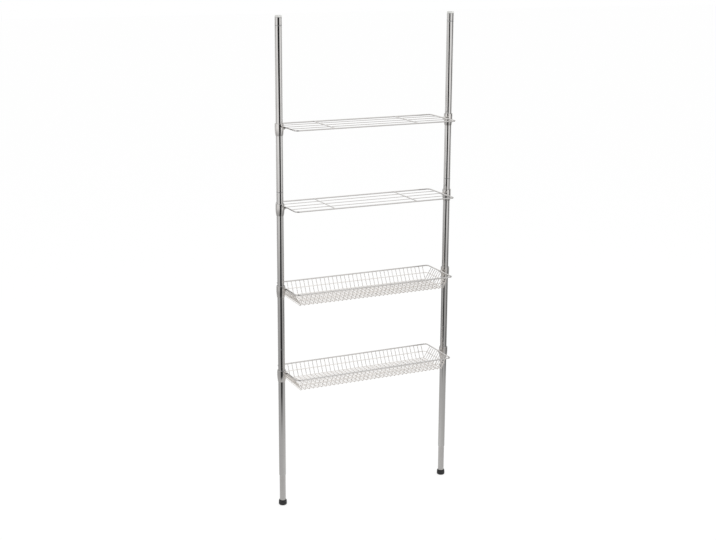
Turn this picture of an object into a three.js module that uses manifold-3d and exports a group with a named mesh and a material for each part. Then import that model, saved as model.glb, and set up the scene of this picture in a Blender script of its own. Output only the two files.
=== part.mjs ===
// Tension pole shelf unit: two round poles clamped between floor and ceiling carry
// two flat wire shelves and two wire mesh baskets, which slide on the poles and lock
// with tapered collars. Millimetres, +Z up, +X along the shelves, front towards -Y.
// The origin is on the floor, midway between the poles.
import * as THREE from 'three';
import { mergeVertices } from 'three/addons/utils/BufferGeometryUtils.js';
import Module from 'manifold-3d';

const wasm = await Module();
wasm.setup();

// Fits shared by all pieces
const seatGap = 0.3;
const telescopeGap = 0.5;
const cutOverrun = 1;
const weldDepth = 0.8;
const meshTolerance = 0.0001;

// Poles
const poleSpacing = 680;
const poleDiameter = 25;
const poleWall = 0.8;
const poleSides = 16;
const lowerTubeBase = 121;
const lowerTubeLength = 496;
const middleTubeLength = 582;
const upperTubeLength = 584;
const joinerFlange = 2;
const joinerReach = 40;

// Sprung foot at the bottom of each pole
const footPadDiameter = 30.5;
const footPadHeight = 20;
const footPadShoulder = 9;
const footPadBottomRound = 4.5;
const footPadSole = 4;
const footPadLip = 1.2;
const footPadRoundSteps = 4;
const footTubeWall = 1.2;
const footTubeLength = 236;
const footPlugDepth = 15;
const footPlugFlange = 2;
const spigotDiameter = 11;
const spigotHeight = 12;
const springLength = 110;
const springMeanDiameter = 17;
const springWire = 2.2;
const springTurns = 9;
const springStepsPerTurn = 8;
const springSides = 5;
const springStopHeight = 18;

// Telescoping top of each pole
const mouthFlange = 2.5;
const mouthSkirt = 25;
const extensionDiameter = 20;
const extensionWall = 1;
const lockPlugDepth = 30;
const lockPlugFlange = 6;
const lockPlugClearance = 8;
const crownHeight = 27.4;
const crownTop = 9;
const ceilingPadHeight = 6;
const ceilingPadRound = 1.5;
const padStudDiameter = 8;
const padStudLength = 5;

// Shelves and baskets: rim outline, taken at the middle of the rim wire
const rimLength = 636;
const rimDepth = 195;
const rimCornerRadius = 12;
const rimWire = 5;
const rimSides = 6;
const rimCornerSteps = 4;
const meshWire = 2.5;
const meshSides = 4;
const crossWire = 4;
const crossWireSpacing = 330;
const slatCount = 3;

// Heights of the four rims above the floor
const topShelfHeight = 1434;
const upperShelfHeight = 1146;
const upperBasketHeight = 842;
const lowerBasketHeight = 520;

// Basket shape below the rim
const basketDrop = 48;
const basketTaper = 25;
const basketBendRadius = 6;
const basketBendSteps = 1;
const hoopCount = 36;
const runnerCount = 10;
const bandCount = 1;
const bandCornerSteps = 2;

// Collars that hold each rim on the poles, measured from the rim wire
const collarDiameter = 32;
const collarAboveRim = 15;
const collarBelowRim = 29;
const collarTaperHeight = 16;
const collarTaperDiameter = 26.6;
const collarEdge = 0.8;
const collarFloor = 17;
const lugWidth = 10;
const lugTopRise = 3;
const lugWall = 2;
const lugRootDrop = 9;
const grooveSteps = 6;
const grooveWrapDegrees = 120;
const sleeveTopWall = 1;
const sleeveBottomWall = 1.6;
const sleeveSlot = 3;

// Sizes that follow from the ones above
const poleRadius = poleDiameter / 2;
const poleBore = poleRadius - poleWall;
const nestedRadius = poleBore - telescopeGap;
const plugRadius = poleBore - seatGap;
const rimRadius = rimWire / 2;
const meshRadius = meshWire / 2;
const layerStep = meshWire + seatGap;

const chrome = { color: 0xb9bcbf, roughness: 0.16, metalness: 1 };
const satin = { color: 0xa9a8a4, roughness: 0.38, metalness: 1 };
const steel = { color: 0x8d9094, roughness: 0.4, metalness: 1 };
const rubber = { color: 0x17181a, roughness: 0.8, metalness: 0 };
const paleRubber = { color: 0xa8a8a4, roughness: 0.7, metalness: 0 };
const whiteNylon = { color: 0xd9d9d4, roughness: 0.55, metalness: 0 };
const greyNylon = { color: 0x55585c, roughness: 0.6, metalness: 0 };

const unit = new THREE.Group();

// Merges shared corners, drops collapsed triangles and turns the faces outwards
function tidy(source) {
  const bare = source.clone();
  bare.deleteAttribute('normal');
  bare.deleteAttribute('uv');
  const merged = mergeVertices(bare, meshTolerance);
  const corners = merged.getAttribute('position');
  const order = merged.getIndex().array;
  const a = new THREE.Vector3();
  const b = new THREE.Vector3();
  const c = new THREE.Vector3();
  const kept = [];
  let volume = 0;
  for (let i = 0; i < order.length; i += 3) {
    const [p, q, r] = [order[i], order[i + 1], order[i + 2]];
    if (p === q || q === r || r === p) continue;
    kept.push([p, q, r]);
    a.fromBufferAttribute(corners, p);
    b.fromBufferAttribute(corners, q);
    c.fromBufferAttribute(corners, r);
    volume += a.dot(b.cross(c));
  }
  const faces = volume < 0 ? kept.map(([p, q, r]) => [p, r, q]) : kept;
  merged.setIndex(faces.flat());
  return merged;
}

function toSolid(geometry) {
  const mesh = tidy(geometry);
  return new wasm.Manifold(new wasm.Mesh({
    numProp: 3,
    vertProperties: new Float32Array(mesh.getAttribute('position').array),
    triVerts: new Uint32Array(mesh.getIndex().array),
  }));
}

function fromSolid(solid) {
  const mesh = solid.getMesh();
  const geometry = new THREE.BufferGeometry();
  geometry.setAttribute('position', new THREE.BufferAttribute(mesh.vertProperties, 3));
  geometry.setIndex([...mesh.triVerts]);
  return geometry;
}

function joined(geometries) {
  return fromSolid(geometries.map(toSolid).reduce((sum, next) => sum.add(next)));
}

function cut(geometry, tool) {
  return fromSolid(toSolid(geometry).subtract(toSolid(tool)));
}

// Revolves [radius, height] pairs about the vertical axis
function turned(profile, sides = poleSides) {
  const points = profile.map(([radius, height]) => new THREE.Vector2(radius, height));
  return tidy(new THREE.LatheGeometry(points, sides).rotateX(Math.PI / 2));
}

function ring(innerRadius, outerRadius, bottom, top) {
  return turned([
    [innerRadius, bottom], [outerRadius, bottom],
    [outerRadius, top], [innerRadius, top], [innerRadius, bottom],
  ]);
}

// Replaces each inner corner of a path with an arc of the given radius
function rounded(corners, radius, steps, closed = false) {
  const path = [];
  corners.forEach((corner, i) => {
    if (!closed && (i === 0 || i === corners.length - 1)) {
      path.push(corner.clone());
      return;
    }
    const before = corners.at(i - 1).clone().sub(corner).normalize();
    const after = corners[(i + 1) % corners.length].clone().sub(corner).normalize();
    const halfAngle = before.angleTo(after) / 2;
    const centre = before.clone().add(after).normalize()
      .multiplyScalar(radius / Math.sin(halfAngle)).add(corner);
    const start = before.clone().multiplyScalar(radius / Math.tan(halfAngle)).add(corner).sub(centre);
    const axis = before.clone().cross(after).normalize();
    for (let k = 0; k <= steps; k += 1) {
      const turn = -(Math.PI - 2 * halfAngle) * (k / steps);
      path.push(start.clone().applyAxisAngle(axis, turn).add(centre));
    }
  });
  return path;
}

// Sweeps a round wire along a flat path, mitred at each point
function wire(path, normal, radius, sides, closed = false) {
  const count = path.length;
  const corners = [];
  path.forEach((point, i) => {
    const last = closed ? path.at(i - 1) : path[Math.max(i - 1, 0)];
    const next = closed ? path[(i + 1) % count] : path[Math.min(i + 1, count - 1)];
    const into = point.clone().sub(last);
    const out = next.clone().sub(point);
    const heading = into.clone().normalize().add(out.clone().normalize()).normalize();
    const bend = (into.lengthSq() && out.lengthSq()) ? into.angleTo(out) : 0;
    const across = new THREE.Vector3().crossVectors(heading, normal)
      .multiplyScalar(radius / Math.cos(bend / 2));
    const up = normal.clone().multiplyScalar(radius);
    for (let k = 0; k < sides; k += 1) {
      const turn = k / sides * 2 * Math.PI;
      corners.push(...point.clone()
        .addScaledVector(across, Math.cos(turn)).addScaledVector(up, Math.sin(turn)).toArray());
    }
  });
  const faces = [];
  const spans = closed ? count : count - 1;
  for (let i = 0; i < spans; i += 1) {
    const here = i * sides;
    const there = ((i + 1) % count) * sides;
    for (let k = 0; k < sides; k += 1) {
      const next = (k + 1) % sides;
      faces.push(here + k, there + k, there + next, here + k, there + next, here + next);
    }
  }
  if (!closed) {
    const end = (count - 1) * sides;
    for (let k = 1; k < sides - 1; k += 1) {
      faces.push(0, k, k + 1, end, end + k + 1, end + k);
    }
  }
  const geometry = new THREE.BufferGeometry();
  geometry.setAttribute('position', new THREE.Float32BufferAttribute(corners, 3));
  geometry.setIndex(faces);
  return tidy(geometry);
}

const alongX = new THREE.Vector3(1, 0, 0);
const alongY = new THREE.Vector3(0, 1, 0);
const alongZ = new THREE.Vector3(0, 0, 1);

function place(name, geometry, look, x = 0, z = 0) {
  const mesh = new THREE.Mesh(geometry, new THREE.MeshStandardMaterial(look));
  mesh.name = name;
  mesh.position.set(x, 0, z);
  unit.add(mesh);
}

// Heights up a pole
const lowerTubeTop = lowerTubeBase + lowerTubeLength;
const lowerSeam = lowerTubeTop + seatGap;
const middleTubeBase = lowerSeam + joinerFlange + seatGap;
const middleTubeTop = middleTubeBase + middleTubeLength;
const upperSeam = middleTubeTop + seatGap;
const upperTubeBase = upperSeam + joinerFlange + seatGap;
const upperTubeTop = upperTubeBase + upperTubeLength;

function footPad() {
  const outer = footPadDiameter / 2;
  const flat = outer - footPadBottomRound;
  const bore = nestedRadius + seatGap;
  const lip = bore + footPadLip;
  const domeHeight = footPadHeight - footPadShoulder;
  const bottomRound = [];
  const dome = [];
  for (let i = 0; i <= footPadRoundSteps; i += 1) {
    const turn = i / footPadRoundSteps * Math.PI / 2;
    bottomRound.push([
      flat + footPadBottomRound * Math.sin(turn),
      footPadBottomRound * (1 - Math.cos(turn)),
    ]);
    dome.push([
      lip + (outer - lip) * Math.cos(turn),
      footPadShoulder + domeHeight * Math.sin(turn),
    ]);
  }
  return turned([
    [0, 0], ...bottomRound, ...dome,
    [bore, footPadHeight], [bore, footPadSole], [0, footPadSole],
  ]);
}

const footTubeBase = footPadSole + seatGap;
const footTubeTop = footTubeBase + footTubeLength;
const footPlugTop = footTubeTop + seatGap + footPlugFlange;
const springBase = footPlugTop + seatGap;
const springTop = springBase + springLength;
const stopBase = springTop + seatGap;
const spigotRadius = spigotDiameter / 2;

function footPlug() {
  const plug = nestedRadius - footTubeWall - seatGap;
  const shoulder = footTubeTop + seatGap;
  return turned([
    [0, shoulder - footPlugDepth], [plug, shoulder - footPlugDepth], [plug, shoulder],
    [nestedRadius, shoulder], [nestedRadius, footPlugTop], [spigotRadius, footPlugTop],
    [spigotRadius, footPlugTop + spigotHeight], [0, footPlugTop + spigotHeight],
  ]);
}

function springStop() {
  return turned([
    [0, stopBase - spigotHeight], [spigotRadius, stopBase - spigotHeight], [spigotRadius, stopBase],
    [plugRadius, stopBase], [plugRadius, stopBase + springStopHeight], [0, stopBase + springStopHeight],
  ]);
}

class Coil extends THREE.Curve {
  getPoint(t, target = new THREE.Vector3()) {
    const turn = 2 * Math.PI * springTurns * t;
    const rise = springLength - springWire;
    return target.set(
      springMeanDiameter / 2 * Math.cos(turn),
      springMeanDiameter / 2 * Math.sin(turn),
      springBase + springWire / 2 + rise * t,
    );
  }
}

function spring() {
  const section = new THREE.Shape();
  for (let k = 0; k < springSides; k += 1) {
    const turn = 2 * Math.PI * k / springSides;
    const [x, y] = [springWire / 2 * Math.cos(turn), springWire / 2 * Math.sin(turn)];
    if (k === 0) section.moveTo(x, y);
    else section.lineTo(x, y);
  }
  section.closePath();
  return tidy(new THREE.ExtrudeGeometry(section, {
    steps: springTurns * springStepsPerTurn,
    extrudePath: new Coil(),
    bevelEnabled: false,
  }));
}

function leastSpringGap() {
  const coil = new Coil();
  const halfTurn = springStepsPerTurn * 2;
  const samples = springTurns * halfTurn * 2;
  const points = Array.from({ length: samples + 1 }, (_, i) => coil.getPoint(i / samples));
  let least = Infinity;
  for (let i = 0; i <= samples; i += 1) {
    for (let j = i + halfTurn; j <= samples; j += 1) {
      least = Math.min(least, points[i].distanceTo(points[j]));
    }
  }
  return least - springWire;
}
console.log(`least gap between spring turns: ${leastSpringGap().toFixed(2)} mm`);

function joiner(seam) {
  return turned([
    [0, seam - joinerReach], [plugRadius, seam - joinerReach], [plugRadius, seam],
    [poleRadius, seam], [poleRadius, seam + joinerFlange], [plugRadius, seam + joinerFlange],
    [plugRadius, seam + joinerFlange + joinerReach], [0, seam + joinerFlange + joinerReach],
  ]);
}

// Top section: mouth bush, extension tube with its lock plug, crown and pad
const mouthBase = upperTubeTop + seatGap;
const mouthTop = mouthBase + mouthFlange;
const crownBase = mouthTop + seatGap;
const crownCeiling = crownBase + crownHeight;
const extensionRadius = extensionDiameter / 2;
const extensionTop = crownCeiling - crownTop - seatGap;
const upperJoinerTop = upperSeam + joinerFlange + joinerReach;
const extensionBase = upperJoinerTop + lockPlugClearance + lockPlugFlange + seatGap;
const padBase = crownCeiling + seatGap;
const padTop = padBase + ceilingPadHeight;
const studRadius = padStudDiameter / 2;

function mouthBush() {
  const bore = extensionRadius + seatGap;
  return turned([
    [bore, mouthBase - mouthSkirt], [plugRadius, mouthBase - mouthSkirt], [plugRadius, mouthBase],
    [poleRadius, mouthBase], [poleRadius, mouthTop], [bore, mouthTop], [bore, mouthBase - mouthSkirt],
  ]);
}

function lockPlug() {
  const stem = extensionRadius - extensionWall - seatGap;
  const shoulder = extensionBase - seatGap;
  return turned([
    [0, shoulder - lockPlugFlange], [plugRadius, shoulder - lockPlugFlange], [plugRadius, shoulder],
    [stem, shoulder], [stem, shoulder + lockPlugDepth], [0, shoulder + lockPlugDepth],
  ]);
}

function crown() {
  const bore = extensionRadius + seatGap;
  const hole = studRadius + seatGap;
  const holeFloor = crownCeiling - padStudLength;
  return turned([
    [0, crownCeiling - crownTop], [bore, crownCeiling - crownTop], [bore, crownBase],
    [poleRadius, crownBase], [poleRadius, crownCeiling], [hole, crownCeiling],
    [hole, holeFloor], [0, holeFloor],
  ]);
}

function ceilingPad() {
  const studEnd = crownCeiling - padStudLength + seatGap;
  return turned([
    [0, studEnd], [studRadius, studEnd], [studRadius, padBase], [poleRadius, padBase],
    [poleRadius, padTop - ceilingPadRound], [poleRadius - ceilingPadRound, padTop], [0, padTop],
  ]);
}

function addPole(side, x) {
  const add = (name, geometry, look) => place(`${side}_${name}`, geometry, look, x);
  add('foot_pad', footPad(), rubber);
  add('foot_tube', ring(nestedRadius - footTubeWall, nestedRadius, footTubeBase, footTubeTop), satin);
  add('foot_plug', footPlug(), whiteNylon);
  add('tension_spring', spring(), steel);
  add('spring_stop', springStop(), whiteNylon);
  add('lower_tube', ring(poleBore, poleRadius, lowerTubeBase, lowerTubeTop), chrome);
  add('lower_joiner', joiner(lowerSeam), steel);
  add('middle_tube', ring(poleBore, poleRadius, middleTubeBase, middleTubeTop), chrome);
  add('upper_joiner', joiner(upperSeam), steel);
  add('upper_tube', ring(poleBore, poleRadius, upperTubeBase, upperTubeTop), chrome);
  add('mouth_bush', mouthBush(), steel);
  add('extension_tube',
    ring(extensionRadius - extensionWall, extensionRadius, extensionBase, extensionTop), satin);
  add('lock_plug', lockPlug(), greyNylon);
  add('crown', crown(), chrome);
  add('ceiling_pad', ceilingPad(), paleRubber);
}

addPole('left', -poleSpacing / 2);
addPole('right', poleSpacing / 2);

// Collars: a bell-shaped body with a saddle lug under the rim wire
const collarRadius = collarDiameter / 2;
const collarTop = collarAboveRim;
const collarBase = -collarBelowRim;
const collarStep = collarBase + collarFloor;
const sleeveBore = poleRadius + seatGap;
const rimFromPole = (poleSpacing - rimLength) / 2;

function collarBody() {
  const topBore = sleeveBore + sleeveTopWall + seatGap;
  const stepBore = sleeveBore + sleeveBottomWall + seatGap;
  return turned([
    [sleeveBore, collarBase], [collarTaperDiameter / 2, collarBase],
    [collarRadius, collarBase + collarTaperHeight], [collarRadius, collarTop - collarEdge],
    [collarRadius - collarEdge, collarTop], [topBore, collarTop],
    [stepBore, collarStep], [sleeveBore, collarStep], [sleeveBore, collarBase],
  ]);
}

// The lug's outline runs outwards from the collar wall; its groove is open at the top
function lug() {
  const root = collarRadius - weldDepth - seatGap;
  const groove = rimRadius + seatGap;
  const outline = new THREE.Shape();
  outline.moveTo(root, lugTopRise);
  outline.lineTo(rimFromPole - groove, lugTopRise);
  const wrap = THREE.MathUtils.degToRad(grooveWrapDegrees);
  for (let k = 0; k <= grooveSteps; k += 1) {
    const turn = Math.PI + wrap * (k / grooveSteps);
    outline.lineTo(rimFromPole + groove * Math.cos(turn), groove * Math.sin(turn));
  }
  const lip = groove + lugWall;
  outline.lineTo(rimFromPole + lip * Math.cos(Math.PI + wrap), lip * Math.sin(Math.PI + wrap));
  outline.lineTo(rimFromPole - lugWall, -lip);
  outline.lineTo(root, -lugRootDrop);
  outline.closePath();
  const body = new THREE.ExtrudeGeometry(outline, { depth: lugWidth, bevelEnabled: false });
  return body.rotateX(Math.PI / 2).translate(0, lugWidth / 2, 0);
}

function collar(side) {
  const body = joined([collarBody(), lug()]);
  return side === 'left' ? body : body.rotateZ(Math.PI);
}

// Split wedge sleeve between the pole and the collar
function sleeve() {
  const bottom = collarStep + seatGap;
  const shell = turned([
    [sleeveBore, bottom], [sleeveBore + sleeveBottomWall, bottom],
    [sleeveBore + sleeveTopWall, collarTop], [sleeveBore, collarTop], [sleeveBore, bottom],
  ]);
  const slot = new THREE.BoxGeometry(sleeveSlot, poleDiameter, collarTop - bottom + 2 * cutOverrun);
  slot.translate(0, poleDiameter / 2, (collarTop + bottom) / 2);
  return cut(shell, slot);
}

// Rim: a closed rounded rectangle of thick wire
const halfLength = rimLength / 2;
const halfDepth = rimDepth / 2;

function loop(halfX, halfY, height, cornerRadius, steps, radius, sides) {
  const corners = [[halfX, halfY], [-halfX, halfY], [-halfX, -halfY], [halfX, -halfY]]
    .map(([x, y]) => new THREE.Vector3(x, y, height));
  return wire(rounded(corners, cornerRadius, steps, true), alongZ, radius, sides, true);
}

function rim() {
  return loop(halfLength, halfDepth, 0, rimCornerRadius, rimCornerSteps, rimRadius, rimSides);
}

function straight(from, to, normal, radius, sides) {
  return wire([from, to], normal, radius, sides);
}

// Flat shelf: rim, thin slats along it and two cross wires
function shelfGrille() {
  const parts = [rim()];
  const slatReach = halfLength - rimRadius + weldDepth;
  const slatStep = rimDepth / (slatCount + 1);
  for (let i = 1; i <= slatCount; i += 1) {
    const y = -halfDepth + i * slatStep;
    parts.push(straight(new THREE.Vector3(-slatReach, y, 0), new THREE.Vector3(slatReach, y, 0),
      alongZ, meshRadius, meshSides));
  }
  const crossReach = halfDepth - rimRadius + weldDepth;
  for (const x of [-crossWireSpacing / 2, crossWireSpacing / 2]) {
    parts.push(straight(new THREE.Vector3(x, -crossReach, 0), new THREE.Vector3(x, crossReach, 0),
      alongZ, crossWire / 2, rimSides));
  }
  return joined(parts);
}

// Basket wirework, outer layer: rim with hoops that run down the front wall,
// across the floor and up the back wall, all welded under the rim
const hoopReach = halfLength - basketTaper;

function basketHoops() {
  const parts = [rim()];
  const floorHalf = halfDepth - basketTaper;
  const weld = rimRadius - weldDepth;
  for (let i = 0; i < hoopCount; i += 1) {
    const x = -hoopReach + 2 * hoopReach * i / (hoopCount - 1);
    const corners = [
      [-halfDepth, -weld], [-floorHalf, -basketDrop], [floorHalf, -basketDrop], [halfDepth, -weld],
    ].map(([y, z]) => new THREE.Vector3(x, y, z));
    parts.push(wire(rounded(corners, basketBendRadius, basketBendSteps), alongX, meshRadius, meshSides));
  }
  return joined(parts);
}

// Basket wirework, inner layer: runners along the floor and up both ends,
// tied together by level bands round the walls
function basketRunners() {
  const parts = [];
  const wallStep = layerStep * Math.hypot(basketDrop, basketTaper) / basketDrop;
  const floorHeight = layerStep - basketDrop;
  const floorHalfX = halfLength - basketTaper - wallStep * basketDrop / (basketDrop + basketTaper);
  const bendReach = basketBendRadius * Math.tan(Math.atan2(basketDrop, basketTaper) / 2);
  const floorHalfY = halfDepth - basketTaper - bendReach - meshRadius;
  const endDrop = rimRadius + seatGap + meshRadius;
  const leanAt = (drop) => basketTaper * drop / basketDrop;
  for (let i = 0; i < runnerCount; i += 1) {
    const y = -floorHalfY + 2 * floorHalfY * i / (runnerCount - 1);
    const topX = halfLength - leanAt(endDrop);
    const corners = [
      [-topX, -endDrop], [-floorHalfX, floorHeight], [floorHalfX, floorHeight], [topX, -endDrop],
    ].map(([x, z]) => new THREE.Vector3(x, y, z));
    parts.push(wire(rounded(corners, basketBendRadius, basketBendSteps), alongY, meshRadius, meshSides));
  }
  for (let i = 1; i <= bandCount; i += 1) {
    const drop = basketDrop * i / (bandCount + 1);
    parts.push(loop(halfLength - leanAt(drop), halfDepth - leanAt(drop) - wallStep, -drop,
      rimCornerRadius, bandCornerSteps, meshRadius, meshSides));
  }
  return joined(parts);
}

function addLevel(name, height, pieces) {
  for (const [part, geometry] of Object.entries(pieces)) {
    place(`${name}_${part}`, geometry, chrome, 0, height);
  }
  for (const [side, sign] of [['left', -1], ['right', 1]]) {
    place(`${name}_${side}_collar`, collar(side), chrome, sign * poleSpacing / 2, height);
    place(`${name}_${side}_sleeve`, sleeve(), greyNylon, sign * poleSpacing / 2, height);
  }
}

addLevel('top_shelf', topShelfHeight, { grille: shelfGrille() });
addLevel('upper_shelf', upperShelfHeight, { grille: shelfGrille() });
addLevel('upper_basket', upperBasketHeight, { hoops: basketHoops(), runners: basketRunners() });
addLevel('lower_basket', lowerBasketHeight, { hoops: basketHoops(), runners: basketRunners() });

export default unit;
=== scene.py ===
"""Looks of a tension pole shelf unit: chrome poles, flat wire shelves, wire mesh baskets and their collars."""
import math

import bmesh
import bpy
from mathutils import Matrix, Vector

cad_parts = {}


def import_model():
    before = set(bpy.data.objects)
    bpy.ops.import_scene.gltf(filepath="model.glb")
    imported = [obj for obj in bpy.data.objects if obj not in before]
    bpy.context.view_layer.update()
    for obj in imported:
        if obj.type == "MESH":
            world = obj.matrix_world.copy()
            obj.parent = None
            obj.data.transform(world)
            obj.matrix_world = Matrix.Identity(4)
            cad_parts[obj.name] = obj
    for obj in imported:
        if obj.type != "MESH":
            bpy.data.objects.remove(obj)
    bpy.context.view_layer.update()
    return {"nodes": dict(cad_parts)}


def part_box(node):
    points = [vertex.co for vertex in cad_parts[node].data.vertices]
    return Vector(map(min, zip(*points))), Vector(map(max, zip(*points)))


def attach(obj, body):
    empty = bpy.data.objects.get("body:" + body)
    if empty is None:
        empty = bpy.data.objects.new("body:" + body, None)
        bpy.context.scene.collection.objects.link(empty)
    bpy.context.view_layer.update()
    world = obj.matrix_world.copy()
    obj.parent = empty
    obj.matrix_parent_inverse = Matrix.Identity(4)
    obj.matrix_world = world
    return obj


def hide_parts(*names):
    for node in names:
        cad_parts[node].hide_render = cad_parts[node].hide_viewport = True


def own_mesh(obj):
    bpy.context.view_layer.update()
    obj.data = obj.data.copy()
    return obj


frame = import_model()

MM = 0.001

# Edges of turned pieces, and the play between pieces that slide or plug into each other
EDGE = 0.25 * MM
SEAT_GAP = 0.3 * MM

# Wires of the shelves and baskets
RIM_WIRE = 5 * MM
RIM_CORNER = 12 * MM
CROSS_WIRE = 4 * MM
CROSS_SPACING = 330 * MM
MESH_WIRE = 2.3 * MM
SLAT_COUNT = 3
END_IN_RIM = 0.5 * MM
WIRE_END_LENGTH = 0.22
WIRE_END_TAPER = 0.8

# Basket below its rim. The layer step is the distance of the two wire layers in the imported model.
BASKET_DROP = 48 * MM
BASKET_TAPER = 25 * MM
BASKET_BEND = 6 * MM
BASKET_WALL = math.hypot(BASKET_DROP, BASKET_TAPER)
HOOP_COUNT = 36
HOOP_IN_RIM = 0.8 * MM
RUNNER_COUNT = 10
BAND_COUNT = 1
WELD_SINK = 0.12 * MM
PACKED_LAYER_STEP = 2.8 * MM

# Weld beads: radii, and how a bead is spread along the wires and flattened across them
SLAT_BEAD = CROSS_WIRE * 0.52
SLAT_END_BEAD = MESH_WIRE * 0.6
CROSS_END_BEAD = CROSS_WIRE * 0.58
HOOP_END_BEAD = MESH_WIRE * 0.62
MESH_BEAD = MESH_WIRE / 2 * 0.85
BAND_BEAD = MESH_WIRE / 2 * 1.15
BEAD_SPREAD = 1.15
BEAD_THICKNESS = 0.8
BEAD_SIDES = 8

# Collar and sleeve, with heights measured from the middle of the rim wire
POLE_RADIUS = 12.5 * MM
COLLAR_ABOVE = 15 * MM
COLLAR_TAPER = 16 * MM
COLLAR_NECK = 26.6 * MM
COLLAR_NECK_EDGE = 0.35 * MM
COLLAR_TOP_EDGE = 0.8 * MM
COLLAR_STEP = 17 * MM
COLLAR_SHARP_ANGLE = 30
SHOULDER_ROUND = 150 * MM
SLEEVE_TOP_WALL = 1 * MM
SLEEVE_BOTTOM_WALL = 1.6 * MM
SLEEVE_SLOT = 3 * MM

# Lug: the wrap is the angle that its groove covers, the heel is how far past straight down its outside goes on
LUG_WIDTH = 10 * MM
LUG_WALL = 2 * MM
LUG_RISE = 3 * MM
LUG_DROP = 9 * MM
LUG_IN_COLLAR = 1.1 * MM
LUG_EDGE = 0.45 * MM
LUG_WRAP = math.radians(120)
LUG_HEEL = 0.35

# Poles
POLE_WALL = 0.8 * MM
FOOT_TUBE_WALL = 1.2 * MM
FOOT_SOLE = 4 * MM
FOOT_SHOULDER = 9 * MM
FOOT_ROUND = 4.5 * MM
FOOT_LIP = 1.2 * MM
JOINER_FLANGE = 2 * MM
JOINER_REACH = 40 * MM
MOUTH_FLANGE = 2.5 * MM
EXTENSION_WALL = 1 * MM
CROWN_TOP = 9 * MM
CROWN_EDGE = 3 * EDGE
STUD_DIAMETER = 8 * MM
STUD_LENGTH = 5 * MM
PAD_ROUND = 1.5 * MM
SPRING_WIRE = 2.2 * MM
SPRING_TURNS = 9

# Mesh resolution
TUBE_SIDES = 64
RIM_SIDES = 20
WIRE_SIDES = 12
SPRING_SIDES = 10
SPRING_STEPS = 24
ARC_STEPS = 8
EDGE_STEPS = 3
PAD_STEPS = 5
COLLAR_STEPS = 12
LUG_STEPS = 14
SHARP_ANGLE = 35

# Distance of the bracing points from the ends of a span, and how many times as long a span is that gets them
BRACE = 0.3 * MM
LONG_SPAN = 5

FULL_TURN = 2 * math.pi
TINY = 1e-9

# Metal finish: noise scales, how dull patches and drawn lines look, and bump strengths with their depth
RIPPLE_SCALE = 55
LINE_SCALE = 900
PATCH_SCALE = 24
PIT_SCALE = 2600
PATCH_RANGE = (0.52, 0.75)
PATCH_HAZE = 0.35
PATCH_TONE = 0.84
PATCH_WARMTH = 0.012
PATCH_ROUGHNESS = 0.1
LINE_CONTRAST = (0.8, 1.25)
RIPPLE_DEPTH = 0.004
LINE_BUMP = 0.05
PIT_BUMP = 0.03
FINE_DEPTH = 0.0001

# Plastic and rubber finish: noise scales, the darker shade, the dust, and the grain
GRAIN_SCALE = 900
SHADE_SCALE = 60
DUST_SCALE = 180
SHADE_TONE = 0.86
DUST_RANGE = (0.55, 0.8)
DUST_COVER = 0.25
DUST_TONE = 1.6
DUST_LIFT = 0.02
GRAIN_CONTRAST = (0.85, 1.15)
GRAIN_DEPTH = 0.0002

# Where most values of a noise lie
NOISE_RANGE = (0.3, 0.7)

# Brightness of the studio walls, by degrees from straight ahead of the rack towards its left
WALL_TONES = [
    (-180, 1.0), (-150, 1.0), (-120, 0.75), (-90, 0.6), (-60, 0.65), (-25, 0.85), (13, 0.85),
    (50, 0.75), (70, 1.0), (95, 1.0), (131, 0.8), (155, 1.0), (180, 1.0),
]
CEILING_TONE = 0.88
CEILING_RANGE = (0.25, 0.8)
AMBIENT = 0.96

# Painted floor reflection: brightness of a glowing disc that only reflections show, darker round the rack, by
# metres from its middle, and where the cards stand on it
FLOOR_REFLECTION_TONES = [
    (0, 0.7), (0.35, 0.6), (0.7, 0.54), (1.2, 0.5), (2.0, 0.43), (3.0, 0.5), (4.1, 0.67), (6.0, 0.85), (9.0, 1.0),
]
FLOOR_REFLECTION_SIDES = 96
CARD_FOOT_TONE = 0.52

# How far the dark card swings out to the right, by height
DARK_CARD_BULGE = [(0.45, 0.0), (0.71, 0.06), (0.89, 0.18), (1.17, 0.25), (1.39, 0.18), (1.69, 0.02)]

# Floor: half its side, how far it lies below the feet, and the share of its own white that is seen directly
FLOOR_REACH = 30
FLOOR_CLEARANCE = 0.2 * MM
FLOOR_GLOW = 0.82

# Lamps and camera
LIGHT_AIM = Vector((0, 0, 0.9))
CAMERA_PLACE = (-1.99858, -4.16988, 2.08575)
CAMERA_YAW = 0.4409
CAMERA_PITCH = -0.23572
CAMERA_ROLL = 0.00497
CAMERA_LENS = 64.305
CAMERA_SHIFT = -0.0349

ALONG_X = Vector((1, 0, 0))
ALONG_Y = Vector((0, 1, 0))
ALONG_Z = Vector((0, 0, 1))


def box_of(node):
    """Lowest corner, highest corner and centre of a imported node."""
    low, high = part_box(node)
    return low, high, (low + high) / 2


def radius_of(node):
    """Outer radius of an upright round node."""
    low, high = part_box(node)
    return (high.x - low.x) / 2


def spread(reach, count):
    """Evenly spaced places from -reach to reach."""
    return [-reach + 2 * reach * i / (count - 1) for i in range(count)]


def rounded(corners, closed=False, steps=ARC_STEPS):
    """Outline through (x, y, fillet radius) corners, with an arc at each corner that has a radius."""
    points = []
    count = len(corners)
    for i, (x, y, radius) in enumerate(corners):
        here = Vector((x, y))
        if radius <= 0 or (not closed and i in (0, count - 1)):
            points.append(here)
            continue
        back = (Vector(corners[i - 1][:2]) - here).normalized()
        ahead = (Vector(corners[(i + 1) % count][:2]) - here).normalized()
        half = back.angle(ahead) / 2
        centre = here + (back + ahead).normalized() * (radius / math.sin(half))
        start = here + back * (radius / math.tan(half)) - centre
        arc = math.pi - 2 * half
        turn = arc if back.x * ahead.y - back.y * ahead.x < 0 else -arc
        for k in range(steps + 1):
            points.append(centre + Matrix.Rotation(turn * k / steps, 2) @ start)
    return points


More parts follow.
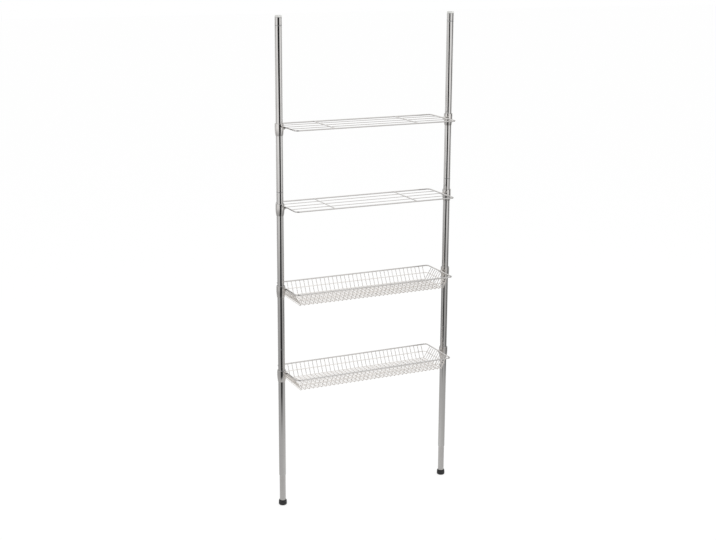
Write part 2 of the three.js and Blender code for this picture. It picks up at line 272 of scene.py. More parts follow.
def braced(points, gap, closed=False):
    """Adds a point near both ends of each long span, which keeps the shading of a bend out of the span."""
    result = []
    for i, point in enumerate(points):
        result.append(point)
        if i == len(points) - 1 and not closed:
            break
        span = points[(i + 1) % len(points)] - point
        if span.length > LONG_SPAN * gap:
            step = span.normalized() * gap
            result += [point + step, point + span - step]
    return result


def revolve(outline, closed=False, arc=FULL_TURN, start=0.0):
    """A mesh of (radius, height) points revolved about Z. A part turn gets its two end faces."""
    outline = braced(outline, BRACE, closed)
    mesh = bmesh.new()
    whole = arc >= FULL_TURN
    stops = TUBE_SIDES if whole else TUBE_SIDES + 1
    rings = []
    for radius, height in outline:
        if radius < TINY:
            rings.append([mesh.verts.new((0, 0, height))] * stops)
            continue
        ring = []
        for k in range(stops):
            turn = start + arc * k / TUBE_SIDES
            ring.append(mesh.verts.new((radius * math.cos(turn), radius * math.sin(turn), height)))
        rings.append(ring)
    spans = len(rings) if closed else len(rings) - 1
    for i in range(spans):
        low, high = rings[i], rings[(i + 1) % len(rings)]
        for k in range(TUBE_SIDES):
            n = (k + 1) % stops
            corners = list(dict.fromkeys((low[k], low[n], high[n], high[k])))
            if len(corners) > 2:
                mesh.faces.new(corners)
    if not whole:
        mesh.faces.new([ring[0] for ring in rings])
        mesh.faces.new([ring[-1] for ring in reversed(rings)])
    return mesh


def sweep(path, normals, radius, sides=WIRE_SIDES, closed=False):
    """A round wire along a path, with lightly rounded ends. normals holds one vector per point, or one for all."""
    mesh = bmesh.new()
    if isinstance(normals, Vector):
        path = braced(path, radius, closed)
        normals = [normals] * len(path)
    count = len(path)
    stations = []
    for i, point in enumerate(path):
        before = path[i - 1] if closed or i else point
        after = path[(i + 1) % count] if closed or i < count - 1 else point
        into, out = point - before, after - point
        heading = (into.normalized() + out.normalized()).normalized()
        bend = into.angle(out) if into.length and out.length else 0
        across = heading.cross(normals[i]).normalized()
        up = across.cross(heading)
        stations.append((point, heading, across / math.cos(bend / 2), up, 1.0))
    if not closed:
        reach = radius * WIRE_END_LENGTH
        point, heading, across, up, _ = stations[0]
        stations.insert(0, (point - heading * reach, heading, across, up, WIRE_END_TAPER))
        point, heading, across, up, _ = stations[-1]
        stations.append((point + heading * reach, heading, across, up, WIRE_END_TAPER))
    rings = []
    for point, _, across, up, scale in stations:
        ring = []
        for k in range(sides):
            turn = FULL_TURN * k / sides
            offset = across * math.cos(turn) + up * math.sin(turn)
            ring.append(mesh.verts.new(point + offset * radius * scale))
        rings.append(ring)
    spans = len(rings) if closed else len(rings) - 1
    for i in range(spans):
        here, there = rings[i], rings[(i + 1) % len(rings)]
        for k in range(sides):
            n = (k + 1) % sides
            mesh.faces.new((here[k], there[k], there[n], here[n]))
    if not closed:
        mesh.faces.new(rings[0])
        mesh.faces.new(list(reversed(rings[-1])))
    return mesh


def bead(centre, wire_a, wire_b, radius):
    """A flattened bead of metal where two wires with these directions are welded together."""
    mesh = bmesh.new()
    bmesh.ops.create_uvsphere(mesh, u_segments=BEAD_SIDES, v_segments=BEAD_SIDES // 2, radius=radius)
    across = wire_a.cross(wire_b).normalized()
    axes = (wire_a * BEAD_SPREAD, wire_b * BEAD_SPREAD, across * BEAD_THICKNESS)
    basis = Matrix(axes).transposed().to_4x4()
    bmesh.ops.transform(mesh, matrix=Matrix.Translation(centre) @ basis, verts=mesh.verts)
    return mesh


def mesh_data(name, mesh):
    """Blender's mesh data from a bmesh, which is used up."""
    data = bpy.data.meshes.new(name)
    mesh.to_mesh(data)
    mesh.free()
    return data


def linked(name, data):
    """A new object in the scene."""
    obj = bpy.data.objects.new(name, data)
    bpy.context.scene.collection.objects.link(obj)
    return obj


def merged(thick, thin):
    """One mesh that holds several, which are used up. The thin wires get the second material."""
    whole = bmesh.new()
    for index, wires in enumerate((thick, thin)):
        for wire in wires:
            for face in wire.faces:
                face.material_index = index
            data = mesh_data("wire", wire)
            whole.from_mesh(data)
            bpy.data.meshes.remove(data)
    return whole


def united(first, second):
    """The union of two closed meshes."""
    objects = []
    for mesh in (first, second):
        bmesh.ops.recalc_face_normals(mesh, faces=mesh.faces)
        objects.append(linked("operand", mesh_data("operand", mesh)))
    union = objects[0].modifiers.new("union", "BOOLEAN")
    union.operation = "UNION"
    union.solver = "EXACT"
    union.object = objects[1]
    graph = bpy.context.evaluated_depsgraph_get()
    result = bmesh.new()
    result.from_mesh(objects[0].evaluated_get(graph).to_mesh())
    for obj in objects:
        data = obj.data
        bpy.data.objects.remove(obj)
        bpy.data.meshes.remove(data)
    return result


def piece(name, mesh, materials, body, node, place=None, sharp=SHARP_ANGLE):
    """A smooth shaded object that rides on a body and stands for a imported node.

    Edges that turn by more than sharp degrees stay sharp.
    """
    bmesh.ops.recalc_face_normals(mesh, faces=mesh.faces)
    data = mesh_data(name, mesh)
    data.polygons.foreach_set("use_smooth", [True] * len(data.polygons))
    data.set_sharp_from_angle(angle=math.radians(sharp))
    for material in materials:
        data.materials.append(material)
    obj = linked(name, data)
    if place is not None:
        obj.matrix_world = place
    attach(obj, body)
    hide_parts(node)
    return obj


def turned_piece(name, node, outline, material, body, closed=False):
    """An upright turned piece in the place of its node."""
    centre = box_of(node)[2]
    place = Matrix.Translation((centre.x, 0, 0))
    piece(name, revolve(outline, closed), [material], body, node, place)


class Shader:
    """Builds a node tree: add() makes a node from its settings and links its inputs."""

    def __init__(self, tree):
        self.tree = tree
        tree.nodes.clear()

    def add(self, kind, inputs=None, **settings):
        node = self.tree.nodes.new("ShaderNode" + kind)
        for key, value in settings.items():
            setattr(node, key, value)
        for key, value in (inputs or {}).items():
            if isinstance(value, bpy.types.NodeSocket):
                self.tree.links.new(value, node.inputs[key])
            else:
                node.inputs[key].default_value = value
        return node

    def place(self):
        return self.add("TexCoord").outputs["Object"]

    def noise(self, vector, scale, detail, roughness=0.5):
        settings = {"Vector": vector, "Scale": scale, "Detail": detail, "Roughness": roughness}
        return self.add("TexNoise", settings).outputs["Fac"]

    def stretched(self, vector, scale):
        return self.add("Mapping", {"Vector": vector, "Scale": scale}).outputs["Vector"]

    def remap(self, value, span, new_low, new_high):
        low, high = span
        settings = {"Value": value, "From Min": low, "From Max": high, "To Min": new_low, "To Max": new_high}
        return self.add("MapRange", settings).outputs["Result"]

    def math(self, operation, a, b=0.0):
        return self.add("Math", {0: a, 1: b}, operation=operation).outputs[0]

    def blend(self, factor, a, b):
        return self.add("Mix", {0: factor, 6: a, 7: b}, data_type="RGBA").outputs[2]

    def ramp(self, value, stops):
        """A colour ramp over 0 to 1 through (position, brightness) stops."""
        node = self.add("ValToRGB", {"Fac": value})
        elements = node.color_ramp.elements
        for i, (position, tone) in enumerate(stops):
            element = elements[i] if i < 2 else elements.new(position)
            element.position = position
            element.color = grey(tone)
        return node.outputs["Color"]

    def bump(self, height, strength, depth, below=None):
        """Surface normal of a height field, on top of another one."""
        settings = {"Strength": strength, "Distance": depth, "Height": height}
        if below is not None:
            settings["Normal"] = below
        return self.add("Bump", settings).outputs["Normal"]

    def show(self, shader):
        self.add("OutputMaterial", {"Surface": shader})


def node_material(name):
    """A new material, and the Shader that fills it."""
    material = bpy.data.materials.new(name)
    material.use_nodes = True
    return material, Shader(material.node_tree)


def grey(value, warmth=0.0):
    """A near-neutral colour."""
    return (value * (1 + warmth), value, value * (1 - warmth), 1)


def metal(name, tone, rough, warmth=0.0, grain=(1, 1, 1), wave=0.02):
    """Plated metal: slow ripples in the plating, fine drawn lines along the grain, pits and dull patches."""
    material, s = node_material(name)
    place = s.place()
    ripples = s.noise(place, RIPPLE_SCALE, detail=2)
    lines = s.noise(s.stretched(place, grain), LINE_SCALE, detail=2, roughness=0.6)
    patches = s.noise(place, PATCH_SCALE, detail=4, roughness=0.6)
    pits = s.noise(place, PIT_SCALE, detail=1)
    dull = s.remap(patches, PATCH_RANGE, 0, PATCH_HAZE)
    colour = s.blend(dull, grey(tone, warmth), grey(tone * PATCH_TONE, warmth + PATCH_WARMTH))
    drawn = s.remap(lines, NOISE_RANGE, *(rough * share for share in LINE_CONTRAST))
    roughness = s.math("ADD", drawn, s.math("MULTIPLY", dull, PATCH_ROUGHNESS))
    slow = s.bump(ripples, wave, RIPPLE_DEPTH)
    fine = s.bump(lines, LINE_BUMP, FINE_DEPTH, slow)
    normal = s.bump(pits, PIT_BUMP, FINE_DEPTH, fine)
    shader = s.add("BsdfPrincipled", {
        "Metallic": 1.0, "Base Color": colour, "Roughness": roughness, "Normal": normal,
    })
    s.show(shader.outputs["BSDF"])
    return material


def plastic(name, colour, rough, bump=0.15):
    """Moulded plastic or rubber: a fine grain, slow shade changes and a little dust."""
    material, s = node_material(name)
    place = s.place()
    grain = s.noise(place, GRAIN_SCALE, detail=4, roughness=0.65)
    shade = s.noise(place, SHADE_SCALE, detail=3)
    dust = s.remap(s.noise(place, DUST_SCALE, detail=5, roughness=0.7), DUST_RANGE, 0, DUST_COVER)
    dark = tuple(SHADE_TONE * c for c in colour) + (1,)
    dusty = tuple(min(1, c * DUST_TONE + DUST_LIFT) for c in colour) + (1,)
    base = s.blend(s.remap(shade, NOISE_RANGE, 0, 1), dark, tuple(colour) + (1,))
    tint = s.blend(dust, base, dusty)
    roughness = s.remap(grain, NOISE_RANGE, *(min(1, rough * share) for share in GRAIN_CONTRAST))
    normal = s.bump(grain, bump, GRAIN_DEPTH)
    shader = s.add("BsdfPrincipled", {"Base Color": tint, "Roughness": roughness, "Normal": normal})
    s.show(shader.outputs["BSDF"])
    return material


# Which way the drawn lines run: a small number draws them out along that axis
DOWN_THE_POLE = (1, 1, 0.02)
ALONG_THE_RACK = (0.2, 1, 1)
SHORT_AND_UPRIGHT = (1, 1, 0.2)

chrome = metal("chrome", 0.66, 0.055, warmth=0.02, grain=DOWN_THE_POLE)
collar_chrome = metal("collar_chrome", 0.7, 0.07, warmth=0.03)
rim_chrome = metal("rim_chrome", 0.72, 0.05, warmth=0.025, grain=ALONG_THE_RACK, wave=0.01)
slat_chrome = metal("slat_chrome", 0.66, 0.14, warmth=0.04, grain=ALONG_THE_RACK, wave=0.01)
mesh_chrome = metal("mesh_chrome", 0.93, 0.12, warmth=0.045, grain=ALONG_THE_RACK, wave=0.01)
satin = metal("satin_chrome", 0.64, 0.34, warmth=0.025, grain=DOWN_THE_POLE)
steel = metal("steel", 0.58, 0.3, grain=SHORT_AND_UPRIGHT)
rubber = plastic("rubber", (0.018, 0.018, 0.019), 0.62, bump=0.3)
pale_rubber = plastic("pale_rubber", (0.6, 0.6, 0.58), 0.6, bump=0.3)
white_nylon = plastic("white_nylon", (0.8, 0.8, 0.77), 0.5)
grey_nylon = plastic("grey_nylon", (0.2, 0.21, 0.23), 0.5)


def tube(name, node, wall, material, body):
    """A tube with slightly rolled ends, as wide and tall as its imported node."""
    low, high, _ = box_of(node)
    outer = radius_of(node)
    inner = outer - wall
    outline = rounded([
        (inner, low.z, EDGE), (outer, low.z, EDGE), (outer, high.z, EDGE), (inner, high.z, EDGE),
    ], closed=True, steps=EDGE_STEPS)
    turned_piece(name, node, outline, material, body, closed=True)


def foot_pad(side):
    """The rubber foot: a flat sole, an upright rim, and a dome up to the lip round the foot tube."""
    node = f"{side}_foot_pad"
    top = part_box(node)[1].z
    outer = radius_of(node)
    bore = radius_of(f"{side}_foot_tube") + SEAT_GAP
    lip = bore + FOOT_LIP
    outline = rounded([(0, 0, 0), (outer, 0, FOOT_ROUND), (outer, FOOT_SHOULDER, 0)])
    for k in range(1, ARC_STEPS + 1):
        turn = k / ARC_STEPS * math.pi / 2
        outline.append(Vector((
            lip + (outer - lip) * math.cos(turn),
            FOOT_SHOULDER + (top - FOOT_SHOULDER) * math.sin(turn),
        )))
    outline += rounded([
        (lip, top, 0), (bore, top, EDGE), (bore, FOOT_SOLE, EDGE), (0, FOOT_SOLE, 0),
    ], steps=EDGE_STEPS)[1:]
    turned_piece(f"{side}_rubber_foot", node, outline, rubber, f"{side}_foot")


def joiner(side, which):
    """The plug that joins two tubes, with the ring that shows between them."""
    node = f"{side}_{which}_joiner"
    low, high, _ = box_of(node)
    outer = radius_of(node)
    plug = outer - POLE_WALL - SEAT_GAP
    seam = low.z + JOINER_REACH
    outline = rounded([
        (0, low.z, 0), (plug, low.z, EDGE), (plug, seam, 0), (outer, seam, EDGE),
        (outer, seam + JOINER_FLANGE, EDGE), (plug, seam + JOINER_FLANGE, 0), (plug, high.z, EDGE), (0, high.z, 0),
    ], steps=EDGE_STEPS)
    turned_piece(f"{side}_{which}_seam_ring", node, outline, steel, "poles")


def mouth_bush(side):
    """The bush in the top of the upper tube, with the ring that shows above it."""
    node = f"{side}_mouth_bush"
    low, high, _ = box_of(node)
    outer = radius_of(node)
    plug = outer - POLE_WALL - SEAT_GAP
    bore = radius_of(f"{side}_extension_tube") + SEAT_GAP
    seat = high.z - MOUTH_FLANGE
    outline = rounded([
        (bore, low.z, EDGE), (plug, low.z, EDGE), (plug, seat, 0), (outer, seat, EDGE),
        (outer, high.z, EDGE), (bore, high.z, EDGE),
    ], closed=True, steps=EDGE_STEPS)
    turned_piece(f"{side}_mouth_ring", node, outline, steel, "poles", closed=True)


def crown(side):
    """The plated cap on the extension tube, with the hole for the ceiling pad's stud."""
    node = f"{side}_crown"
    low, high, _ = box_of(node)
    outer = radius_of(node)
    bore = radius_of(f"{side}_extension_tube") + SEAT_GAP
    hole = STUD_DIAMETER / 2 + SEAT_GAP
    outline = rounded([
        (0, high.z - CROWN_TOP, 0), (bore, high.z - CROWN_TOP, EDGE), (bore, low.z, EDGE), (outer, low.z, EDGE),
        (outer, high.z, CROWN_EDGE), (hole, high.z, EDGE), (hole, high.z - STUD_LENGTH, EDGE),
        (0, high.z - STUD_LENGTH, 0),
    ], steps=EDGE_STEPS)
    turned_piece(f"{side}_top_cap", node, outline, chrome, f"{side}_extension")


def ceiling_pad(side):
    """The pale pad on the crown, with its stud."""
    node = f"{side}_ceiling_pad"
    low, high, _ = box_of(node)
    outer = radius_of(node)
    stud = STUD_DIAMETER / 2
    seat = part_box(f"{side}_crown")[1].z + SEAT_GAP
    outline = rounded([
        (0, low.z, 0), (stud, low.z, EDGE), (stud, seat, 0), (outer, seat, EDGE),
        (outer, high.z, PAD_ROUND), (0, high.z, 0),
    ], steps=PAD_STEPS)
    turned_piece(f"{side}_top_pad", node, outline, pale_rubber, f"{side}_extension")


def tension_spring(side):
    """The coil spring, built at its length in the imported model; the real one flattens towards its stop as the
    foot is pressed in.
    """
    node = f"{side}_tension_spring"
    low, high, centre = box_of(node)
    radius = radius_of(node) - SPRING_WIRE / 2
    bottom, top = low.z + SPRING_WIRE / 2, high.z - SPRING_WIRE / 2
    steps = SPRING_TURNS * SPRING_STEPS
    path, normals = [], []
    for k in range(steps + 1):
        turn = FULL_TURN * SPRING_TURNS * k / steps
        out = Vector((math.cos(turn), math.sin(turn), 0))
        path.append(Vector((centre.x, 0, bottom + (top - bottom) * k / steps)) + out * radius)
        normals.append(out)
    mesh = sweep(path, normals, SPRING_WIRE / 2, SPRING_SIDES)
    spring = piece(f"{side}_coil_spring", mesh, [steel], "poles", node)
    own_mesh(spring)


def pole(side):
    """One pole, from its foot to its ceiling pad."""
    foot_pad(side)
    tube(f"{side}_foot_stem", f"{side}_foot_tube", FOOT_TUBE_WALL, satin, f"{side}_foot")
    tension_spring(side)
    tube(f"{side}_pole_lower", f"{side}_lower_tube", POLE_WALL, chrome, "poles")
    joiner(side, "lower")
    tube(f"{side}_pole_middle", f"{side}_middle_tube", POLE_WALL, chrome, "poles")
    joiner(side, "upper")
    tube(f"{side}_pole_upper", f"{side}_upper_tube", POLE_WALL, chrome, "poles")
    mouth_bush(side)
    tube(f"{side}_top_stem", f"{side}_extension_tube", EXTENSION_WALL, satin, f"{side}_extension")
    crown(side)
    ceiling_pad(side)


def collar_body(outer, below):
    """The bell-shaped collar: straight at the top, drawn in to a neck at the bottom."""
    sleeve_bore = POLE_RADIUS + SEAT_GAP
    top_bore = sleeve_bore + SLEEVE_TOP_WALL + SEAT_GAP
    step_bore = sleeve_bore + SLEEVE_BOTTOM_WALL + SEAT_GAP
    step = below + COLLAR_STEP
    outline = rounded([
        (sleeve_bore, below, EDGE), (COLLAR_NECK / 2, below, COLLAR_NECK_EDGE),
        (outer, below + COLLAR_TAPER, SHOULDER_ROUND), (outer, COLLAR_ABOVE, COLLAR_TOP_EDGE),
        (top_bore, COLLAR_ABOVE, EDGE), (step_bore, step, 0), (sleeve_bore, step, 0),
    ], closed=True, steps=COLLAR_STEPS)
    return revolve(outline, closed=True)


def lug(outer, reach):
    """The saddle under the rim wire, as a slab with softened edges. reach is the wire's distance from the pole."""
    root = outer - LUG_IN_COLLAR
    groove = RIM_WIRE / 2 + SEAT_GAP
    lip = groove + LUG_WALL
    outline = [(root, LUG_RISE), (reach - groove, LUG_RISE)]
    for k in range(LUG_STEPS + 1):
        turn = math.pi + LUG_WRAP * k / LUG_STEPS
        outline.append((reach + groove * math.cos(turn), groove * math.sin(turn)))
    end = math.pi + LUG_WRAP
    for k in range(LUG_STEPS + 1):
        turn = end - (end - 1.5 * math.pi + LUG_HEEL) * k / LUG_STEPS
        outline.append((reach + lip * math.cos(turn), lip * math.sin(turn)))
    outline.append((root, -LUG_DROP))
    mesh = bmesh.new()
    near = [mesh.verts.new((x, -LUG_WIDTH / 2, z)) for x, z in outline]
    far = [mesh.verts.new((x, LUG_WIDTH / 2, z)) for x, z in outline]
    mesh.faces.new(near)
    mesh.faces.new(list(reversed(far)))
    for k in range(len(outline)):
        n = (k + 1) % len(outline)
        mesh.faces.new((near[n], near[k], far[k], far[n]))
    bmesh.ops.recalc_face_normals(mesh, faces=mesh.faces)
    outlines = [e for e in mesh.edges if abs(e.verts[0].co.y - e.verts[1].co.y) < TINY]
    bmesh.ops.bevel(mesh, geom=outlines, offset=LUG_EDGE, segments=3, profile=0.5, affect="EDGES")
    return mesh


def split_sleeve(below):
    """The wedge between collar and pole, thicker at the bottom, with a slot at the back."""
    bore = POLE_RADIUS + SEAT_GAP
    bottom = below + COLLAR_STEP + SEAT_GAP
    outline = rounded([
        (bore, bottom, EDGE), (bore + SLEEVE_BOTTOM_WALL, bottom, EDGE),
        (bore + SLEEVE_TOP_WALL, COLLAR_ABOVE, EDGE), (bore, COLLAR_ABOVE, EDGE),
    ], closed=True, steps=EDGE_STEPS)
    half_slot = math.asin(SLEEVE_SLOT / 2 / bore)
    return revolve(outline, closed=True, arc=2 * (math.pi - half_slot), start=math.pi / 2 + half_slot)


def collars(level, rim_reach):
    """Collar and split sleeve on both poles. rim_reach is how far the rim's end rail is from the middle."""
    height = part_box(f"{level}_left_collar")[1].z - COLLAR_ABOVE
    for side in ("left", "right"):
        node = f"{level}_{side}_collar"
        low, high, _ = box_of(node)
        outer = (high.y - low.y) / 2
        pole_x = low.x + outer if side == "left" else high.x - outer
        below = low.z - height
        seat = Matrix.Translation((pole_x, 0, height))
        inwards = Matrix.Identity(4) if side == "left" else Matrix.Rotation(math.pi, 4, "Z")
        body = united(collar_body(outer, below), lug(outer, abs(pole_x) - rim_reach))
        piece(f"{level}_{side}_bell_collar", body, [collar_chrome], level, node,
              seat @ inwards, COLLAR_SHARP_ANGLE)
        piece(f"{level}_{side}_split_sleeve", split_sleeve(below), [grey_nylon], level,
              f"{level}_{side}_sleeve", seat)


def wire_loop(half_x, half_y, height, radius, sides):
    """A closed rounded rectangle of wire, level at the given height."""
    flat = rounded([
        (half_x, half_y, RIM_CORNER), (-half_x, half_y, RIM_CORNER),
        (-half_x, -half_y, RIM_CORNER), (half_x, -half_y, RIM_CORNER),
    ], closed=True)
    return sweep([Vector((p.x, p.y, height)) for p in flat], ALONG_Z, radius, sides, closed=True)


def shelf(level):
    """Flat shelf: rim, thin slats along it and two cross wires, all in one plane and welded end to end."""
    node = f"{level}_grille"
    _, high, centre = box_of(node)
    half_x = high.x - RIM_WIRE / 2
    half_y = high.y - RIM_WIRE / 2
    z = centre.z
    thick = [wire_loop(half_x, half_y, z, RIM_WIRE / 2, RIM_SIDES)]
    thin = []
    slat_reach = half_x - RIM_WIRE / 2 + END_IN_RIM
    cross_reach = half_y - RIM_WIRE / 2 + END_IN_RIM
    crossings = (-CROSS_SPACING / 2, CROSS_SPACING / 2)
    for y in spread(half_y, SLAT_COUNT + 2)[1:-1]:
        thin.append(sweep([Vector((-slat_reach, y, z)), Vector((slat_reach, y, z))], ALONG_Z, MESH_WIRE / 2))
        for x in crossings:
            thick.append(bead(Vector((x, y, z)), ALONG_X, ALONG_Y, SLAT_BEAD))
        for x in (-slat_reach, slat_reach):
            thin.append(bead(Vector((x, y, z)), ALONG_X, ALONG_Y, SLAT_END_BEAD))
    for x in crossings:
        ends = [Vector((x, -cross_reach, z)), Vector((x, cross_reach, z))]
        thick.append(sweep(ends, ALONG_Z, CROSS_WIRE / 2, RIM_SIDES))
        for y in (-cross_reach, cross_reach):
            thick.append(bead(Vector((x, y, z)), ALONG_X, ALONG_Y, CROSS_END_BEAD))
    wires = [rim_chrome, slat_chrome]
    piece(f"{level}_welded_grille", merged(thick, thin), wires, level, node)
    collars(level, half_x)


def basket(level):
    """Basket: rim and hoops across it, and inside them runners along it and a level band, all welded together."""
    hoops, runners = f"{level}_hoops", f"{level}_runners"
    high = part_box(hoops)[1]
    half_x = high.x - RIM_WIRE / 2
    half_y = high.y - RIM_WIRE / 2
    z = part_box(f"{level}_left_collar")[1].z - COLLAR_ABOVE
    floor_y = half_y - BASKET_TAPER
    floor_z = z - BASKET_DROP
    wire = MESH_WIRE / 2

    weld_z = z - (RIM_WIRE / 2 - HOOP_IN_RIM)
    hoop_xs = spread(half_x - BASKET_TAPER, HOOP_COUNT)
    profile = rounded([
        (-half_y, weld_z, 0), (-floor_y, floor_z, BASKET_BEND), (floor_y, floor_z, BASKET_BEND),
        (half_y, weld_z, 0),
    ])
    rim = wire_loop(half_x, half_y, z, RIM_WIRE / 2, RIM_SIDES)
    outer = []
    for x in hoop_xs:
        outer.append(sweep([Vector((x, p.x, p.y)) for p in profile], ALONG_X, wire))
        for y in (-half_y, half_y):
            outer.append(bead(Vector((x, y, weld_z)), ALONG_X, ALONG_Y, HOOP_END_BEAD))

    lean = BASKET_TAPER / BASKET_DROP
    step = MESH_WIRE - WELD_SINK
    wall_step = step * BASKET_WALL / BASKET_DROP
    packed_wall_step = PACKED_LAYER_STEP * BASKET_WALL / BASKET_DROP
    bend_reach = BASKET_BEND * math.tan(math.atan2(BASKET_DROP, BASKET_TAPER) / 2)
    runner_x = half_x - BASKET_TAPER - packed_wall_step * BASKET_DROP / (BASKET_DROP + BASKET_TAPER)
    runner_z = floor_z + step
    top_drop = RIM_WIRE / 2 + wire - WELD_SINK
    top_x = half_x - lean * top_drop
    runner_ys = spread(floor_y - bend_reach - wire, RUNNER_COUNT)
    profile = rounded([
        (-top_x, z - top_drop, 0), (-runner_x, runner_z, BASKET_BEND), (runner_x, runner_z, BASKET_BEND),
        (top_x, z - top_drop, 0),
    ])
    inner = []
    for y in runner_ys:
        inner.append(sweep([Vector((p.x, y, p.y)) for p in profile], ALONG_Y, wire))
        for x in hoop_xs[1:-1]:
            inner.append(bead(Vector((x, y, floor_z + step / 2)), ALONG_X, ALONG_Y, MESH_BEAD))
    for i in range(1, BAND_COUNT + 1):
        drop = BASKET_DROP * i / (BAND_COUNT + 1)
        band_x = half_x - lean * drop
        band_y = half_y - lean * drop - wall_step
        inner.append(wire_loop(band_x, band_y, z - drop, wire, WIRE_SIDES))
        for x in hoop_xs:
            for side in (-1, 1):
                centre = Vector((x, side * (band_y + wall_step / 2), z - drop))
                inner.append(bead(centre, ALONG_X, ALONG_Z, MESH_BEAD))
        for y in runner_ys:
            for side in (-1, 1):
                inner.append(bead(Vector((side * band_x, y, z - drop)), ALONG_Y, ALONG_Z, BAND_BEAD))

    wires = [rim_chrome, mesh_chrome]
    piece(f"{level}_rim_and_hoops", merged([rim], outer), wires, level, hoops)
    piece(f"{level}_runners_and_bands", merged([], inner), wires, level, runners)
    collars(level, half_x)


def hidden_parts():
    """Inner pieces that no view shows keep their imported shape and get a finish."""
    finishes = (
        ("foot_plug", white_nylon, "white_nylon"),
        ("spring_stop", white_nylon, "white_nylon"),
        ("lock_plug", grey_nylon, "grey_nylon"),
    )
    for side in ("left", "right"):
        for part, material, slot in finishes:
            obj = frame["nodes"][f"{side}_{part}"]
            obj.data.materials.clear()
            obj.data.materials.append(material)


def glowing(name, mesh, tone):
    """A studio surface that only reflections show. tone makes its colour from a Shader."""
    material, s = node_material(name)
    s.show(s.add("Emission", {"Color": tone(s), "Strength": 1.0}).outputs[0])
    data = mesh_data(name, mesh)
    data.materials.append(material)
    obj = linked(name, data)
    for kind in ("camera", "diffuse", "transmission", "volume_scatter", "shadow"):
        setattr(obj, f"visible_{kind}", False)


def card(name, centre, width, bottom, fade, top, tone, bulge=()):
    """An upright glowing card that only reflections show: a painted dark reflection on the metal. It stands square
    to the line from the rack to it, and its foot fades into the painted floor reflection over the height fade.

    bulge holds (height, shift) pairs, where the card stands that far to the right of its centre.
    """
    mesh = bmesh.new()
    facing = Vector((-centre[0], -centre[1], 0)).normalized()
    across = facing.cross(ALONG_Z)
    rows = []
    for height, shift in [(bottom, 0), *bulge, (top, 0)]:
        middle = Vector((centre[0], centre[1], height)) + across * shift
        rows.append([mesh.verts.new(middle + across * side * width / 2) for side in (-1, 1)])
    for low, high in zip(rows, rows[1:]):
        mesh.faces.new((low[0], low[1], high[1], high[0]))

    def shade(s):
        height = s.add("SeparateXYZ", {"Vector": s.place()}).outputs["Z"]
        return s.blend(s.remap(height, (bottom, bottom + fade), 0, 1), grey(CARD_FOOT_TONE), grey(tone))

    glowing(name, mesh, shade)


def painted_floor_reflection():
    """A glowing grey disc round the rack that only reflections show: a painted reflection of a darker floor, which
    fades out into the white floor.
    """
    reach = FLOOR_REFLECTION_TONES[-1][0]
    mesh = bmesh.new()
    bmesh.ops.create_circle(mesh, cap_ends=True, segments=FLOOR_REFLECTION_SIDES, radius=reach)

    def shade(s):
        away = s.add("VectorMath", {0: s.place()}, operation="LENGTH").outputs["Value"]
        return s.ramp(s.math("DIVIDE", away, reach), [(radius / reach, tone) for radius, tone in FLOOR_REFLECTION_TONES])

    glowing("painted_floor_reflection", mesh, shade)


def floor():
    """The pale floor: it shows as white itself and keeps the shadows."""
    material, s = node_material("floor")
    matt = s.add("BsdfDiffuse", {"Color": grey(1.0)}).outputs[0]
    glow = s.add("Emission", {"Color": grey(1.0), "Strength": 1.0}).outputs[0]
    path = s.add("LightPath").outputs
    camera_or_gloss = s.math("MAXIMUM", path["Is Camera Ray"], path["Is Glossy Ray"])
    seen_directly = s.math("MAXIMUM", camera_or_gloss, path["Is Transmission Ray"])
    share = s.math("MULTIPLY", seen_directly, FLOOR_GLOW)
    s.show(s.add("MixShader", {0: share, 1: matt, 2: glow}).outputs[0])
    mesh = bmesh.new()
    bmesh.ops.create_grid(mesh, x_segments=1, y_segments=1, size=FLOOR_REACH)
    data = mesh_data("floor", mesh)
    data.materials.append(material)
    obj = linked("floor", data)
    obj.location.z = -FLOOR_CLEARANCE


def world():
    """Soft even light, a white backdrop, and walls and a ceiling that only reflections show."""
    studio = bpy.data.worlds.new("studio")
    bpy.context.scene.world = studio
    studio.use_nodes = True
    s = Shader(studio.node_tree)
    direction = s.add("TexCoord").outputs["Generated"]
    parts = s.add("SeparateXYZ", {"Vector": direction}).outputs
    left = s.math("MULTIPLY", parts["X"], -1.0)
    ahead = s.math("MULTIPLY", parts["Y"], -1.0)
    around = s.remap(s.math("ARCTAN2", left, ahead), (-math.pi, math.pi), 0, 1)
    walls = s.ramp(around, [((degrees + 180) / 360, tone) for degrees, tone in WALL_TONES])
    ceiling = s.remap(parts["Z"], CEILING_RANGE, 0, 1)
    mirrored = s.blend(ceiling, walls, grey(CEILING_TONE))
    path = s.add("LightPath").outputs
    reflected = s.math("MAXIMUM", path["Is Glossy Ray"], path["Is Transmission Ray"])
    glossy = s.add("Background", {"Color": mirrored, "Strength": 1.0}).outputs[0]
    soft = s.add("Background", {"Color": grey(1.0), "Strength": AMBIENT}).outputs[0]
    backdrop = s.add("Background", {"Color": grey(1.0), "Strength": 1.0}).outputs[0]
    lit = s.add("MixShader", {0: reflected, 1: soft, 2: glossy}).outputs[0]
    shown = s.add("MixShader", {0: path["Is Camera Ray"], 1: lit, 2: backdrop}).outputs[0]
    s.add("OutputWorld", {"Surface": shown})


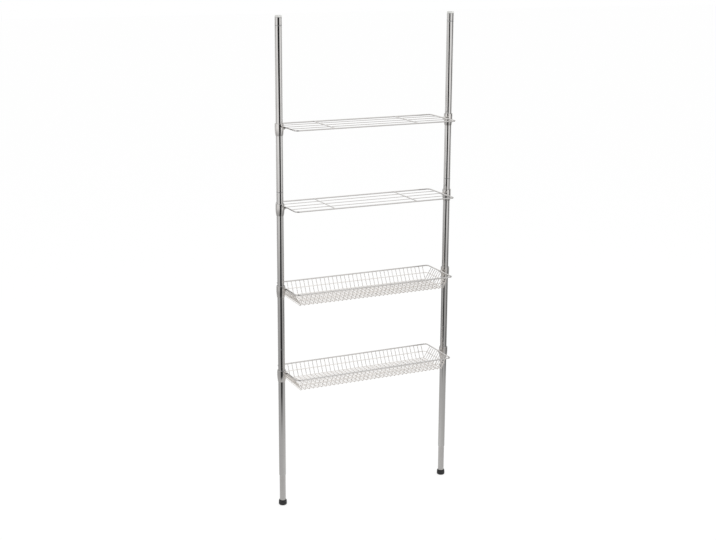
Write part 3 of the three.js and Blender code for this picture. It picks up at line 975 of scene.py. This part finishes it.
def softbox(name, place, width, height, watts):
    """A soft lamp aimed at the rack, which reflections don't show."""
    data = bpy.data.lights.new(name, "AREA")
    data.shape = "RECTANGLE"
    data.size, data.size_y = width, height
    data.energy = watts
    obj = linked(name, data)
    obj.location = place
    obj.rotation_euler = (LIGHT_AIM - Vector(place)).to_track_quat("-Z", "Y").to_euler()
    obj.visible_glossy = False


def camera():
    """The photograph's view: from the left front and above, looking along the rack."""
    data = bpy.data.cameras.new("camera")
    data.sensor_width = 36
    data.lens = CAMERA_LENS
    data.shift_y = CAMERA_SHIFT
    data.clip_end = 100
    obj = linked("camera", data)
    turn = (Matrix.Rotation(-CAMERA_YAW, 4, "Z") @ Matrix.Rotation(math.pi / 2 + CAMERA_PITCH, 4, "X")
            @ Matrix.Rotation(CAMERA_ROLL, 4, "Z"))
    obj.matrix_world = Matrix.Translation(CAMERA_PLACE) @ turn
    bpy.context.scene.camera = obj


camera()
world()
floor()
softbox("key_light", place=(-2.2, -2.6, 3.4), width=2.0, height=2.0, watts=50)
softbox("fill_light", place=(2.8, -2.0, 2.6), width=1.6, height=2.2, watts=22)
painted_floor_reflection()
# Glowing cards that only reflections show: painted dark reflections, which draw the dark lines in the chrome
card("dark_card", (-0.487, -0.694), width=0.88, bottom=0.0, fade=0.2, top=2.2, tone=0.03, bulge=DARK_CARD_BULGE)
card("side_card", (0.782, -0.255), width=0.34, bottom=0.2, fade=0.1, top=2.2, tone=0.08)
card("left_card", (-1.39, 0.58), width=0.5, bottom=0.2, fade=0.3, top=2.6, tone=0.35)
card("rear_card", (0, 3.0), width=1.5, bottom=0.0, fade=0.3, top=1.8, tone=0.03)
card("rear_low_card", (0, 1.0), width=0.6, bottom=0.0, fade=0.15, top=0.62, tone=0.04)
card("rear_side_card", (2.2, 1.6), width=0.6, bottom=0.0, fade=0.3, top=2.0, tone=0.2)
for side in ("left", "right"):
    pole(side)
for level in ("top_shelf", "upper_shelf"):
    shelf(level)
for level in ("upper_basket", "lower_basket"):
    basket(level)
hidden_parts()

bpy.context.scene.view_settings.view_transform = "Standard"
